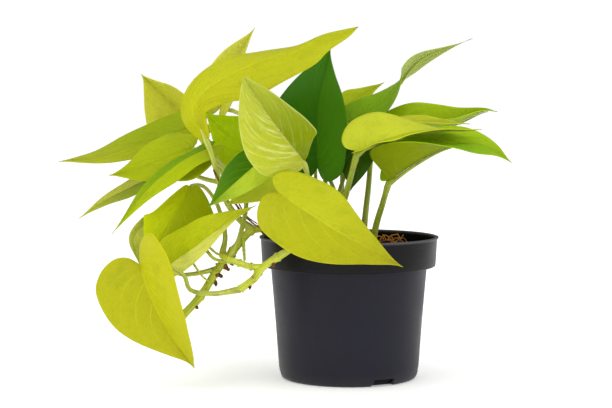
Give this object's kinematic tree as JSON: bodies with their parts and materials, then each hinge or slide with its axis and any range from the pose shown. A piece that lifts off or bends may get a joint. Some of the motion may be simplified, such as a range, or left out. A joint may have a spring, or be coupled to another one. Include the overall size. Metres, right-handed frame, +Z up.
{
  "type": "potted pothos plant",
  "caption": "Trailing pothos with heart-shaped lime and dark green leaves on long stalks, growing in soil in a round black plastic nursery pot with a rim band.",
  "frame": {"origin": "centre of the pot's underside, on the surface it stands on", "axes": "+Z up through the pot's axis, +X to the right as seen from the front, along the plant's widest spread, -Y towards the viewer"},
  "size_m": [0.2982, 0.1753, 0.236],
  "materials": {
    "pot": "satin moulded black plastic",
    "soil": "dark damp potting soil with brown fibre",
    "stems": "smooth yellow-green stem",
    "leaf_lime": "waxy lime leaf",
    "leaf_green": "waxy yellow-green leaf",
    "leaf_dark": "waxy dark green leaf"
  },
  "bodies": {
    "root": {"leaf_back_hanging": "leaf_dark", "leaf_back_lean": "leaf_lime", "leaf_back_point": "leaf_lime", "leaf_back_upright": "leaf_green", "leaf_bright_fold": "leaf_lime", "leaf_dark_small": "leaf_dark", "leaf_dark_upright": "leaf_dark", "leaf_front_heart": "leaf_lime", "leaf_inner_green": "leaf_green", "leaf_left_hanging": "leaf_green", "leaf_left_long": "leaf_green", "leaf_left_low": "leaf_green", "leaf_left_middle": "leaf_green", "leaf_left_strip": "leaf_green", "leaf_left_upper": "leaf_lime", "leaf_low_heart": "leaf_lime", "leaf_low_pale": "leaf_lime", "leaf_low_shaded": "leaf_green", "leaf_right_back": "leaf_lime", "leaf_right_front": "leaf_green", "leaf_right_hanging": "leaf_dark", "leaf_right_lime": "leaf_lime", "leaf_right_long": "leaf_green", "leaf_right_small": "leaf_lime", "leaf_right_twist": "leaf_green", "leaf_top_arch": "leaf_lime", "leaf_under_small": "leaf_green", "pot": "pot", "soil": "soil", "vine_low": "stems", "vine_main": "stems", "vine_upper": "stems"}
  },
  "joints": []
}
